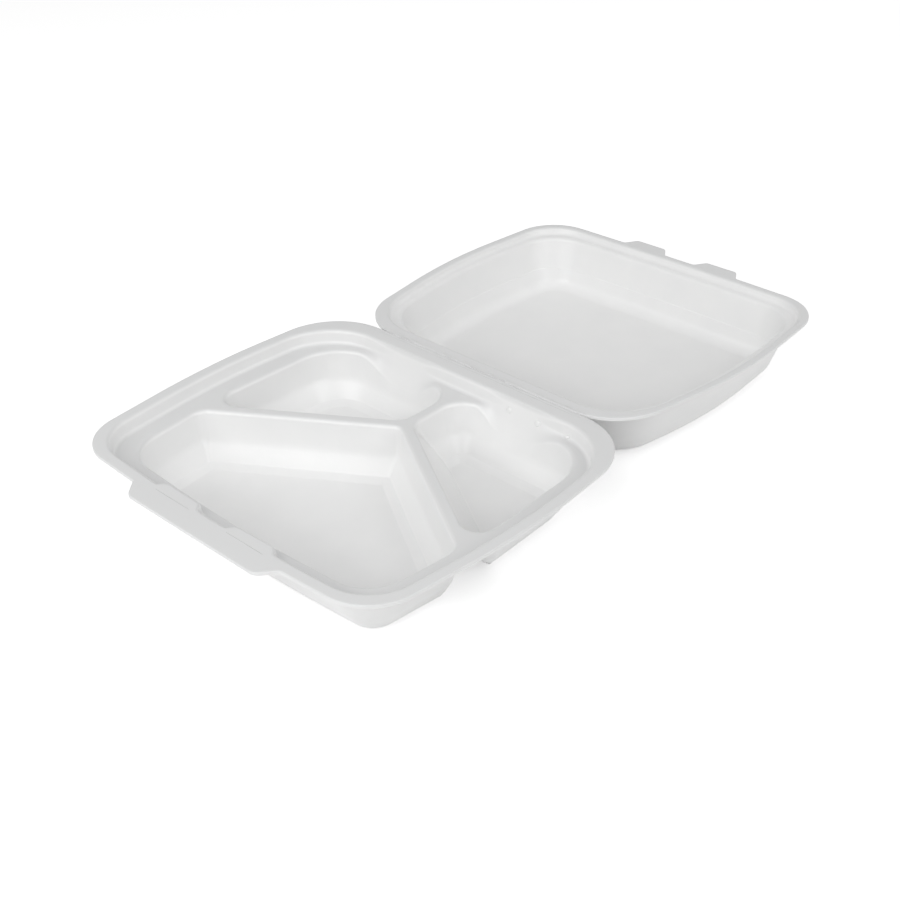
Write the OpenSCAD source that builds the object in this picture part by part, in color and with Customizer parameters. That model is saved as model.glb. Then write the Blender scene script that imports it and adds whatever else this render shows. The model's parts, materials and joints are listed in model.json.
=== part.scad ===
// Hinged foam meal container: a three-compartment base tray and a plain lid, lying open.
// The hinge runs along X, the base lies on the -Y side and the lid on the +Y side, Z is up.
// Both halves are one foam sheet of even thickness, so every wall is hollow on its back.

/* [Base tray] */
// Width between the front corners of the rim, before the sides bow out
tray_w = 218; // [198:1:236]
// Width between the rim corners at the hinge
tray_hinge_w = 226; // [206:1:240]
// Depth from the hinge crease to the front corners
tray_d = 189; // [170:1:205]
// How far the middle of each side stands out
side_bow = 8.5; // [4:0.5:13]
// How far the middle of the front stands out
front_bow = 5.5; // [1:0.5:8]
// Corner radius at the front
front_r = 29; // [18:1:36]
// Corner radius next to the hinge
hinge_r = 39; // [26:1:44]
// Depth of the compartment floors below the rim
floor_depth = 38.5; // [32:0.5:46]
// Thickness of the foam sheet
foam_t = 2.2; // [1.8:0.1:2.6]

/* [Rim and ledge] */
// Width of the flat lip
lip_w = 5; // [4:0.25:7]
// Width of the flat strip between crease and tray at the hinge
hinge_strip = 9; // [7:0.5:12]
// Depth of the ledge and divider tops below the rim
ledge_depth = 8.5; // [6:0.5:11]
// Width of the ledge along the sides and the front
ledge_w = 8; // [5:0.5:11]
// Lean of the wall between lip and ledge, from upright
rim_draft = 8; // [4:1:14]

/* [Compartments] */
// Distance from the hinge crease to the place where the dividers meet
meet_d = 56.5; // [50:0.5:64]
// Distance from the hinge crease to the place where the dividers reach the sides
end_d = 117; // [110:0.5:125]
// Width of the divider tops
divider_w = 5; // [4:0.25:7]
// Lean of the compartment walls, from upright
wall_draft = 11; // [6:1:16]
// Radius along the foot of the walls
foot_r = 6.5; // [4:0.5:9]
// Radius along the compartment mouths
mouth_r = 3.2; // [2.8:0.1:4]
// Corner radius of the front compartment where the dividers meet
front_apex_r = 9; // [6:0.5:14]
// Corner radius of the front compartment at the ends of the dividers
front_end_r = 13; // [8:0.5:18]
// Corner radius of the front compartment at the front
front_well_r = 26; // [16:0.5:30]
// Corner radius of a rear compartment next to the hinge and the side
rear_side_r = 30; // [20:0.5:34]
// Corner radius of a rear compartment next to the hinge and the middle divider
rear_mid_r = 17; // [10:0.5:20]
// Corner radius of a rear compartment where the dividers meet
rear_apex_r = 14; // [8:0.5:18]
// Corner radius of a rear compartment at the end of its divider
rear_end_r = 16; // [10:0.5:20]
// How much further out the rear compartments reach than the front one
rear_spread = 2.5; // [0:0.25:4]

/* [Lid] */
// Width between the lid's far corners, before the sides bow out
lid_w = 210; // [194:1:224]
// Width between the lid's corners at the hinge
lid_hinge_w = 194; // [178:1:208]
// Depth from the hinge crease to the far corners
lid_d = 193; // [173:1:209]
// How far the middle of each lid side stands out
lid_bow = 12; // [6:0.5:16]
// How far the middle of the far edge stands out
lid_front_bow = 2; // [1:0.5:5]
// Corner radius at the far edge
lid_far_r = 29; // [20:1:36]
// Corner radius next to the hinge
lid_hinge_r = 38; // [24:1:44]
// Depth of the panel below the lid's rim
lid_depth = 36; // [28:0.5:38]
// Depth of the step under the lid's lip
lid_step = 7; // [5:0.5:10]
// Lean of the lid's main wall, from upright
lid_draft = 14; // [8:1:20]
// Radius along the foot of the lid's walls
lid_foot_r = 9; // [7:0.5:14]
// Width of the flat strip at the lid's side of the hinge
lid_strip = 7; // [5:0.5:10]

/* [Locking tabs] */
// Distance between the middles of the two tabs
tab_gap = 54; // [44:1:64]
// Width of a tab where it leaves the lid
tab_root = 32; // [24:1:36]
// Width of a tab at its tip
tab_tip = 22; // [16:1:24]
// Length of a tab
tab_l = 7.5; // [6:0.5:12]
// Width of the front apron where it leaves the rim
apron_root = 110; // [100:1:122]
// Width of the apron at its outer edge
apron_tip = 94; // [84:1:99]
// How far the apron stands out from the rim
apron_l = 6.5; // [5:0.5:12]
// Clear width of the locking slits
slit_w = 1.2; // [0.8:0.1:2]
// How much longer a slit is than its tab is wide at the tip
slit_play = 4; // [2:0.5:8]
// Distance from the edge of the rim to the middle of a slit
slit_in = 4; // [3:0.25:6]
// Width of the pocket under a slit, at the edge of the rim
pocket_w = 34; // [32:1:42]
// How far a pocket stands into the tray from the lip
pocket_d = 4.5; // [4:0.25:6]

/* [Hidden] */
foam_white = [0.93, 0.93, 0.92];
// Clearance of the crease between the two halves
crease = 0.3;
// Height of the hinge axis over the rim plane
axis_up = 0.15;
// Turn of one facet in a rounded corner, and facets in a rounded edge
corner_step = 10;
edge_facets = 4;
// Inner radius left on the back of the lip's edge, and ledges that are hardly there
lip_back_r = 0.4;
lip_edge_r = foam_t + lip_back_r;
step_ledge = 0.6;
hinge_ledge = 0.4;
// Radii along the foot of the rim wall and of the lid's step, of the tabs' corners and of the pockets
ledge_foot_r = 2.5;
step_foot_r = 2;
tab_round = 1;
pocket_r = 4;
// How far a pocket narrows towards the middle of the tray, on each side
pocket_taper = 3;
// Thickness of a pocket's roof
pocket_roof = foam_t + lip_back_r / 2;
// Smallest corner radius, and how far the hollows are cut past the top
least_r = 3;
overcut = 1;
base_h = floor_depth + foam_t;
lid_h = lid_depth + foam_t;

// Plane geometry: convex outlines run counter-clockwise, so the inside is on the left of every edge.
function unit(v) = v / norm(v);
function inward(p, i) =
    let (d = unit(p[(i + 1) % len(p)] - p[i]))
    [-d[1], d[0]];
function cross2(a, b) = a[0] * b[1] - a[1] * b[0];
// Point at distances c0 and c1 along the directions n0 and n1
function solve2(n0, c0, n1, c1) =
    [c0 * n1[1] - c1 * n0[1], c1 * n0[0] - c0 * n1[0]] / cross2(n0, n1);
// Corner i after its two edges have moved inward by d0 and d1
function moved_corner(p, i, d0, d1) =
    let (h = (i + len(p) - 1) % len(p))
    solve2(inward(p, h), inward(p, h) * p[i] + d0, inward(p, i), inward(p, i) * p[i] + d1);
// Outline whose edges have moved inward, each by its own distance
function inset(p, d) =
    [for (i = [0 : len(p) - 1]) moved_corner(p, i, d[(i + len(p) - 1) % len(p)], d[i])];
// Point where the line through a and b meets the line through c and e
function crossing(a, b, c, e) =
    a + (b - a) * cross2(c - a, e - c) / cross2(b - a, e - c);
function mirrored(p) =
    [for (i = [len(p) - 1 : -1 : 0]) [-p[i][0], p[i][1]]];
// Rounded ring: the outline moved inward by t; corner radii r shrink as it moves in
function ring(p, r, t, z) =
    [for (i = [0 : len(p) - 1])
        let (h = (i + len(p) - 1) % len(p))
        let (q = max(least_r, r[i] - t))
        let (c = moved_corner(p, i, t + q, t + q))
        let (n0 = inward(p, h))
        let (n1 = inward(p, i))
        let (a0 = atan2(-n0[1], -n0[0]))
        let (turn = acos(min(1, n0 * n1)))
        let (m = max(3, round(turn / corner_step)))
        for (k = [0 : m])
            [c[0] + q * cos(a0 + turn * k / m), c[1] + q * sin(a0 + turn * k / m), z]];

// Wall section of a bowl as [inset, height] pairs: rounded mouth, leaning wall, rounded foot.
// off moves the section through the foam: 0 is the food side, foam_t the back.
function mouth_arc(top, edge_r, lean, off) =
    [for (k = [0 : edge_facets])
        let (a = (90 - lean) * k / edge_facets)
        [(edge_r - off) * sin(a), top - edge_r + (edge_r - off) * cos(a)]];
function wall_run(top, deep, edge_r, foot, lean) =
    (deep + top - edge_r * (1 - sin(lean)) - foot * (1 - sin(lean))) / cos(lean);
function foot_centre(top, deep, edge_r, foot, lean) =
    let (s = wall_run(top, deep, edge_r, foot, lean))
    [(edge_r + foot) * cos(lean) + s * sin(lean), foot - deep];
function foot_arc(top, deep, edge_r, foot, lean, off) =
    let (c = foot_centre(top, deep, edge_r, foot, lean))
    [for (k = [0 : edge_facets])
        let (a = lean + (90 - lean) * k / edge_facets)
        [c[0] - (foot + off) * cos(a), c[1] - (foot + off) * sin(a)]];

// Convex block through a stack of rings
module block(rings) {
    points = [for (g = rings) each g];
    hull()
        polyhedron(points, [[for (i = [0 : len(points) - 1]) i]]);
}

// Filled bowl under an outline; reach is how far it stands up into what lies over it
module bowl(p, r, top, deep, edge_r, foot, lean, off, reach) {
    mouth = mouth_arc(top, edge_r, lean, off);
    low = foot_arc(top, deep, edge_r, foot, lean, off);
    block([ring(p, r, 0, top - off + reach), ring(p, r, 0, top - off)]);
    for (k = [0 : edge_facets - 1])
        block([ring(p, r, mouth[k][0], mouth[k][1]), ring(p, r, mouth[k + 1][0], mouth[k + 1][1])]);
    block([ring(p, r, mouth[edge_facets][0], mouth[edge_facets][1]), for (s = low) ring(p, r, s[0], s[1])]);
}

// Flat plate under an outline, its top at height z
module plate(p, r, z) {
    block([ring(p, r, 0, z), ring(p, r, 0, z - foam_t)]);
}

// Radius that rounds the middle corner of a bowed edge of length 2 * half
function bow_r(half, bow) = 0.42 * half * half / bow;

// Base outline: hinge, left side, front, right side
base_mid_x = (tray_w + tray_hinge_w) / 4 + side_bow;
base_rim = [[tray_hinge_w / 2, -crease / 2], [-tray_hinge_w / 2, -crease / 2], [-base_mid_x, -tray_d / 2],
    [-tray_w / 2, -tray_d], [0, -tray_d - front_bow], [tray_w / 2, -tray_d],
    [base_mid_x, -tray_d / 2]];
base_side_r = bow_r(tray_d / 2, side_bow);
base_front_r = bow_r(tray_w / 2, front_bow);
base_r = [hinge_r, hinge_r, base_side_r, front_r, base_front_r, front_r, base_side_r];
step_rim = inset(base_rim, [hinge_strip, lip_w, lip_w, lip_w, lip_w, lip_w, lip_w]);

// Compartment mouths on the ledge
rim_run = foot_centre(0, ledge_depth, lip_edge_r, ledge_foot_r, rim_draft)[0];
side_in = lip_w + rim_run + ledge_w;
hinge_in = hinge_strip + rim_run + hinge_ledge;
mouth = inset(base_rim, [hinge_in, side_in, side_in, side_in, side_in, side_in, side_in]);
// The rear mouths reach a little further out than the front one
rear_in = side_in - rear_spread;
rear_mouth = inset(base_rim, [hinge_in, rear_in, rear_in, rear_in, rear_in, rear_in, rear_in]);
meet_y = -meet_d;
end_y = -end_d;
end_x = crossing([0, end_y], [1, end_y], mouth[5], mouth[6])[0];
fall = (end_y - meet_y) / end_x;
half_top = divider_w / 2 * sqrt(1 + fall * fall);
front_back = crossing([0, meet_y - half_top], [1, meet_y - half_top + fall], mouth[5], mouth[6]);
rear_front = crossing([0, meet_y + half_top], [1, meet_y + half_top + fall], rear_mouth[5], rear_mouth[6]);
rear_x = divider_w / 2;
front_well = [[0, meet_y - half_top], [-front_back[0], front_back[1]],
    mouth[3], mouth[4], mouth[5], front_back];
front_r_all = [front_apex_r, front_end_r, front_well_r, base_front_r, front_well_r, front_end_r];
rear_well = [rear_mouth[0], [rear_x, mouth[0][1]],
    [rear_x, meet_y + half_top + fall * rear_x], rear_front];
rear_r_all = [rear_side_r, rear_mid_r, rear_apex_r, rear_end_r];
rear_left_r = [for (i = [3 : -1 : 0]) rear_r_all[i]];

// Lid outline: hinge, right side, far edge, left side
lid_mid_x = (lid_w + lid_hinge_w) / 4 + lid_bow;
lid_rim = [[-lid_hinge_w / 2, crease / 2], [lid_hinge_w / 2, crease / 2], [lid_mid_x, lid_d / 2],
    [lid_w / 2, lid_d], [0, lid_d + lid_front_bow], [-lid_w / 2, lid_d], [-lid_mid_x, lid_d / 2]];
lid_side_r = bow_r(lid_d / 2, lid_bow);
lid_edge_r = bow_r(lid_w / 2, lid_front_bow);
lid_r = [lid_hinge_r, lid_hinge_r, lid_side_r, lid_far_r, lid_edge_r, lid_far_r, lid_side_r];
lid_mouth = inset(lid_rim, [lid_strip, lip_w, lip_w, lip_w, lip_w, lip_w, lip_w]);
lid_step_run = foot_centre(0, lid_step, lip_edge_r, step_foot_r, rim_draft)[0];
lid_inner = inset(lid_mouth, [for (i = [0 : 6]) lid_step_run + step_ledge]);
lid_panel_run = foot_centre(-lid_step, lid_depth, lip_edge_r, lid_foot_r, lid_draft)[0];

// The lid leans back until the far edge of its panel touches the ground
axis_z = base_h + axis_up;
lean_y = max([for (q = ring(lid_inner, lid_r, lid_panel_run, 0)) q[1]]);
lean_r = norm([lean_y, lid_h + axis_up]);
lid_lean = asin(axis_z / lean_r) - atan2(lid_h + axis_up, lean_y);
// The middle of the open container is put over the origin
front_y = -tray_d - front_bow - apron_l;
tip_y = lid_d + lid_front_bow + tab_l;
back_y = tip_y * cos(lid_lean) - axis_up * sin(lid_lean);
centre_y = (front_y + back_y) / 2;
// The slits run along the front lip where the tabs come down, each over a pocket in the wall
tab_front_y = crossing([tab_gap / 2, 0], [tab_gap / 2, 1], base_rim[4], base_rim[5])[1];
slit_y = tab_front_y + slit_in;
pocket_in_y = tab_front_y + lip_w + pocket_d;
pocket_out_y = tab_front_y;
pocket = [[pocket_w / 2, pocket_out_y], [pocket_w / 2 - pocket_taper, pocket_in_y],
    [pocket_taper - pocket_w / 2, pocket_in_y], [-pocket_w / 2, pocket_out_y]];
pocket_all_r = [for (i = [0 : 3]) pocket_r];

module trapezoid(y0, w0, y1, w1, round_r) {
    linear_extrude(foam_t)
        offset(r = round_r)
            offset(delta = -round_r)
                polygon([[-w0 / 2, y0], [-w1 / 2, y1], [w1 / 2, y1], [w0 / 2, y0]]);
}

// Step from the base's lip down to the ledge
module rim_bowl(off, reach) {
    bowl(step_rim, base_r, 0, ledge_depth, lip_edge_r, ledge_foot_r, rim_draft, off, reach);
}

// Pockets for the tabs: bosses on the food side for off 0, hollows in them for off foam_t
module pockets(off, top, deep) {
    for (side = [-1, 1])
        translate([side * tab_gap / 2, 0, 0])
            block([ring(pocket, pocket_all_r, off + top * tan(rim_draft), top),
                ring(pocket, pocket_all_r, off - deep * tan(rim_draft), -deep)]);
}

// One compartment, from the ledge down to its floor
module well(p, r, off, reach) {
    bowl(p, r, -ledge_depth, floor_depth, mouth_r, foot_r, wall_draft, off, reach);
}

module base_tray() {
    color(foam_white)
        translate([0, -centre_y, base_h])
            difference() {
                union() {
                    plate(base_rim, base_r, 0);
                    rim_bowl(foam_t, foam_t / 2);
                    well(front_well, front_r_all, foam_t, foam_t / 2);
                    well(rear_well, rear_r_all, foam_t, foam_t / 2);
                    well(mirrored(rear_well), rear_left_r, foam_t, foam_t / 2);
                    translate([0, 0, -foam_t])
                        trapezoid(lip_w - tray_d, apron_root, front_y, apron_tip, tab_round);
                }
                difference() {
                    rim_bowl(0, overcut);
                    pockets(0, 2 * overcut, ledge_depth + foam_t);
                }
                pockets(foam_t, -pocket_roof, ledge_depth + foam_t + overcut);
                well(front_well, front_r_all, 0, overcut);
                well(rear_well, rear_r_all, 0, overcut);
                well(mirrored(rear_well), rear_left_r, 0, overcut);
                for (side = [-1, 1])
                    translate([side * tab_gap / 2, slit_y, 0])
                        cube([tab_tip + slit_play, slit_w, 3 * foam_t], center = true);
            }
}

// Step under the lid's lip and the main bowl below it
module lid_bowl(off, reach) {
    bowl(lid_mouth, lid_r, 0, lid_step, lip_edge_r, step_foot_r, rim_draft, off, reach);
    bowl(lid_inner, lid_r, -lid_step, lid_depth, lip_edge_r, lid_foot_r, lid_draft, off, reach);
}

module lid() {
    color(foam_white)
        translate([0, -centre_y, axis_z])
            rotate([-lid_lean, 0, 0])
                translate([0, 0, -axis_up])
                    difference() {
                        union() {
                            plate(lid_rim, lid_r, 0);
                            lid_bowl(foam_t, foam_t / 2);
                            for (side = [-1, 1])
                                translate([side * tab_gap / 2, 0, -foam_t])
                                    trapezoid(lid_d - lip_w / 2, tab_root, tip_y, tab_tip, tab_round);
                        }
                        lid_bowl(0, overcut);
                    }
}

base_tray();
lid();
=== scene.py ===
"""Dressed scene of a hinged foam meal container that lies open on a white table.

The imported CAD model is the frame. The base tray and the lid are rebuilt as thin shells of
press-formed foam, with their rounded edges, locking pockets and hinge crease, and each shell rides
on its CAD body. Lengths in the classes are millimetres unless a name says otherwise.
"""

import json
import logging
import math
from collections.abc import Callable, Iterable, Sequence
from dataclasses import dataclass, field, replace
from enum import Enum

import bmesh
import bpy
import numpy as np
from mathutils import Matrix, Vector, geometry, noise


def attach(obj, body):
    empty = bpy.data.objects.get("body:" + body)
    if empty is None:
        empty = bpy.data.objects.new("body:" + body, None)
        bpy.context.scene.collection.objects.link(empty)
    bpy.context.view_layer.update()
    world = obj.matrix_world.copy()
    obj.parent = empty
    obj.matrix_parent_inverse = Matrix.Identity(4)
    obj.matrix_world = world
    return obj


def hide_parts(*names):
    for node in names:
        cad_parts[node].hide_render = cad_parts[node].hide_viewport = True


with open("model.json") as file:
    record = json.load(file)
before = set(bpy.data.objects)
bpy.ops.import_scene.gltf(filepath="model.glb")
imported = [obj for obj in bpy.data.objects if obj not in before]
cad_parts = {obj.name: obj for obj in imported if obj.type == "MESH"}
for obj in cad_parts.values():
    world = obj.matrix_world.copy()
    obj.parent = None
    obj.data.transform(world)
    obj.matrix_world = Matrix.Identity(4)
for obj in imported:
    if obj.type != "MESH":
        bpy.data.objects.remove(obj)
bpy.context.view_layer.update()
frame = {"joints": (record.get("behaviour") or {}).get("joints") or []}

MM = 0.001
# Name of the mesh attribute that paints shade on the flat tops, 1 where a flat is darkened.
HINGE = np.array(frame["joints"][0]["pos_m"])
FLAT_SHADE = "painted_flat_shade"
log = logging.getLogger("foam_container")

Point = tuple[float, float]


class Side(Enum):
    """Face of the foam sheet."""

    FOOD = "food"
    BACK = "back"


# ---------------------------------------------------------------------------------- outlines


def smooth(share: np.ndarray) -> np.ndarray:
    """Ease shares of 0 to 1 in and out."""
    return share * share * (3.0 - 2.0 * share)


def crossing(a: Point, b: Point, c: Point, d: Point) -> Point:
    """Find where two lines meet.

    Args:
        a: First point of the first line.
        b: Second point of the first line.
        c: First point of the second line.
        d: Second point of the second line.

    Returns:
        The common point of both lines.
    """
    ab = (b[0] - a[0], b[1] - a[1])
    cd = (d[0] - c[0], d[1] - c[1])
    ac = (c[0] - a[0], c[1] - a[1])
    share = (ac[0] * cd[1] - ac[1] * cd[0]) / (ab[0] * cd[1] - ab[1] * cd[0])
    return (a[0] + share * ab[0], a[1] + share * ab[1])


@dataclass(frozen=True)
class Outline:
    """Outline with rounded corners, counter-clockwise, in the plane of the rim.

    Attributes:
        corners: Corner points before rounding.
        radii: Rounding radius of each corner.
        spacing: Longest distance between sampled points.
        turn: Largest turn between sampled points of a corner, in degrees.
        taper: How fast the corner radii shrink as the outline moves inward.
        pace: How fast each edge moves inward, where they differ.
        pattern: Sampled steps of each corner and edge, where they follow another outline.
    """

    corners: tuple[Point, ...]
    radii: tuple[float, ...]
    spacing: float = 2.5
    turn: float = 6.0
    taper: float = 1.0
    pace: tuple[float, ...] = ()
    pattern: tuple[tuple[int, int], ...] | None = None

    LEAST_RADIUS = 3.0
    LEAST_STEPS = 3
    FAR_SHARE = 0.6

    def normals(self) -> np.ndarray:
        """Return the inward unit normal of each edge."""
        at = np.array(self.corners)
        along = np.roll(at, -1, axis=0) - at
        along /= np.linalg.norm(along, axis=1, keepdims=True)
        return np.stack([-along[:, 1], along[:, 0]], axis=1)

    def moved(self, index: int, before: float, after: float) -> np.ndarray:
        """Move the two edges at a corner inward.

        Args:
            index: Number of the corner.
            before: Distance for the edge that ends there.
            after: Distance for the edge that starts there.

        Returns:
            The corner's new place.
        """
        inward = self.normals()
        sides = np.stack([inward[index - 1], inward[index]])
        reach = sides @ np.array(self.corners[index]) + np.array([before, after])
        return np.linalg.solve(sides, reach)

    def inset(self, distances: Sequence[float]) -> "Outline":
        """Move every edge inward by its own distance.

        Args:
            distances: One distance for each edge.

        Returns:
            An outline with the same radii and sampled steps.
        """
        places = [self.moved(i, distances[i - 1], distances[i]) for i in range(len(self.corners))]
        corners = tuple((float(x), float(y)) for x, y in places)
        return replace(self, corners=corners, pattern=self.steps())

    def mirrored(self) -> "Outline":
        """Return the outline mirrored across the middle of the container."""
        corners = tuple((-x, y) for x, y in reversed(self.corners))
        radii = tuple(reversed(self.radii))
        pace = self.pace[-2::-1] + self.pace[-1:]
        return replace(self, corners=corners, radii=radii, pace=pace, pattern=None)

    def bends(self, inset: float) -> list[np.ndarray]:
        """Sample the rounded corners.

        Args:
            inset: How far the whole outline has moved inward.

        Returns:
            The centre, the first angle, the signed turn and the signed radius of each corner.
        """
        inward = self.normals()
        found = []
        for i, radius in enumerate(self.radii):
            first, last = inward[i - 1], inward[i]
            swing = first[0] * last[1] - first[1] * last[0]
            sign = 1.0 if swing > 0 else -1.0
            round_r = max(min(self.LEAST_RADIUS, radius), radius - sign * self.taper * inset)
            before, after = (self.pace[i - 1], self.pace[i]) if self.pace else (1.0, 1.0)
            centre = self.moved(i, before * inset + sign * round_r, after * inset + sign * round_r)
            start = math.atan2(first[1], first[0])
            sweep = sign * math.acos(float(np.clip(first @ last, -1.0, 1.0)))
            found.append(np.array([*centre, start, sweep, sign * round_r]))
        return found

    def steps(self) -> tuple[tuple[int, int], ...]:
        """Return how many steps each corner and each following edge is sampled in."""
        if self.pattern:
            return self.pattern
        bends = self.bends(0.0)
        ends = [self.on_bend(b, np.array([0.0, 1.0])) for b in bends]
        counts = []
        for i, bend in enumerate(bends):
            by_turn = math.degrees(abs(bend[3])) / self.turn
            by_length = abs(bend[3] * bend[4]) / self.spacing
            gap = float(np.linalg.norm(ends[(i + 1) % len(ends)][0] - ends[i][1]))
            round_steps = max(self.LEAST_STEPS, math.ceil(max(by_turn, by_length)))
            counts.append((round_steps, max(1, round(gap / self.spacing))))
        return tuple(counts)

    @staticmethod
    def on_bend(bend: np.ndarray, shares: np.ndarray) -> np.ndarray:
        """Return the points at shares of the way round a corner."""
        angle = bend[2] + bend[3] * shares
        return bend[:2] - bend[4] * np.stack([np.cos(angle), np.sin(angle)], axis=1)

    def ring(self, inset: float = 0.0) -> np.ndarray:
        """Sample the outline as a closed ring.

        Args:
            inset: How far the outline is moved inward first.

        Returns:
            The ring's points, the same number for every inset.
        """
        steps = self.steps()
        arcs = [
            self.on_bend(bend, np.linspace(0.0, 1.0, count + 1))
            for bend, (count, _) in zip(self.bends(inset), steps)
        ]
        points = []
        for i, (arc, (_, count)) in enumerate(zip(arcs, steps)):
            shares = np.linspace(0.0, 1.0, count + 1)[1:-1, None]
            points += [arc, arc[-1] + shares * (arcs[(i + 1) % len(arcs)][0] - arc[-1])]
        return np.concatenate(points)

    def edge_at(self, x: float, outward: float) -> float:
        """Find the outline's outer edge at one place across the container.

        Args:
            x: Place across the container.
            outward: 1 for the edge at the highest y and -1 for the one at the lowest.

        Returns:
            The y of the edge there.
        """
        ring = self.ring()
        away = ring[:, 1] - ring[:, 1].mean()
        far = ring[away * outward > self.FAR_SHARE * np.abs(away).max()]
        order = np.argsort(far[:, 0])
        return float(np.interp(x, far[order, 0], far[order, 1]))


# ---------------------------------------------------------------------------------- sections


@dataclass(frozen=True)
class Bend:
    """Corner of a wall section: how far in, how high, and how round it is."""

    inset: float
    height: float
    radius: float = 0.0


@dataclass(frozen=True)
class Section:
    """Wall section of the foam sheet on its food side, from the rim inward.

    Attributes:
        bends: Corners of the section; the first and the last are its ends.
        turn: Largest turn between sampled points, in degrees.
        run: Longest distance between sampled points of a straight stretch.
    """

    bends: tuple[Bend, ...]
    turn: float = 9.0
    run: float = 4.0

    LEAST_TURNS = 2
    LEAST_LENGTH = 1e-6

    def path(self) -> tuple[np.ndarray, np.ndarray]:
        """Sample the section.

        Returns:
            The points, and the unit normals towards the back of the foam.
        """
        at = np.array([(b.inset, b.height) for b in self.bends])
        angle = np.arctan2(np.diff(at[:, 1]), np.diff(at[:, 0]))
        points, angles = [at[0]], [angle[0]]
        for i in range(1, len(at) - 1):
            before, radius = angle[i - 1], self.bends[i].radius
            swing = angle[i] - before
            signed_r = math.copysign(radius, swing)
            reach = radius * math.tan(abs(swing) / 2)
            start = at[i] - reach * np.array([math.cos(before), math.sin(before)])
            self.straight(points, angles, start, before)
            centre = start + signed_r * np.array([-math.sin(before), math.cos(before)])
            count = max(self.LEAST_TURNS, math.ceil(math.degrees(abs(swing)) / self.turn))
            for k in range(1, count + 1):
                now = before + swing * k / count
                points.append(centre - signed_r * np.array([-math.sin(now), math.cos(now)]))
                angles.append(now)
        self.straight(points, angles, at[-1], angle[-1])
        back = np.stack([np.sin(angles), -np.cos(angles)], axis=1)
        return np.array(points), back

    def straight(
        self, points: list[np.ndarray], angles: list[float], end: np.ndarray, angle: float
    ) -> None:
        """Add a straight stretch to a sampled section.

        Args:
            points: Sampled points, which grow.
            angles: Direction at each point, which grow too.
            end: Where the stretch ends.
            angle: Direction of the stretch.
        """
        start = points[-1]
        length = float(np.linalg.norm(end - start))
        if length < self.LEAST_LENGTH:
            return
        count = max(1, math.ceil(length / self.run))
        for k in range(1, count + 1):
            points.append(start + (end - start) * k / count)
            angles.append(angle)

    def face(self, side: Side, thickness: float) -> np.ndarray:
        """Return the inset and height of the section's points on one face of the foam."""
        points, back = self.path()
        return points if side is Side.FOOD else points + thickness * back


def edge_run(edge_r: float, lean: float) -> float:
    """Return how far in a round upper edge has its corner, over a wall of a lean in degrees."""
    return edge_r * math.tan(math.radians(90.0 - lean) / 2)


def wall_foot(top: float, deep: float, edge_r: float, lean: float, radius: float) -> Bend:
    """Return the corner where a straight wall meets the floor below it."""
    return Bend(edge_run(edge_r, lean) + (top - deep) * math.tan(math.radians(lean)), deep, radius)


def bowl_section(top: float, edge_r: float, lean: float, *lower: Bend) -> Section:
    """Build a section that starts on a flat, turns down over a round edge and ends on a floor.

    Args:
        top: Height of the flat.
        edge_r: Radius of the upper edge.
        lean: Lean of the wall from upright, in degrees.
        lower: Corners below the wall, the last of them on the floor.

    Returns:
        The section, which starts and ends where its roundings do.
    """
    bends = (Bend(0.0, top), Bend(edge_run(edge_r, lean), top, edge_r), *lower)
    before, last = bends[-2:]
    swing = math.atan2(before.height - last.height, last.inset - before.inset)
    end = last.inset + last.radius * math.tan(swing / 2)
    return Section((*bends, Bend(end, last.height)))


# -------------------------------------------------------------------------------- foam shells


def linked(name: str, data: bpy.types.ID) -> bpy.types.Object:
    """Return a new object of the scene with its data."""
    made = bpy.data.objects.new(name, data)
    bpy.context.scene.collection.objects.link(made)
    return made


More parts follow.
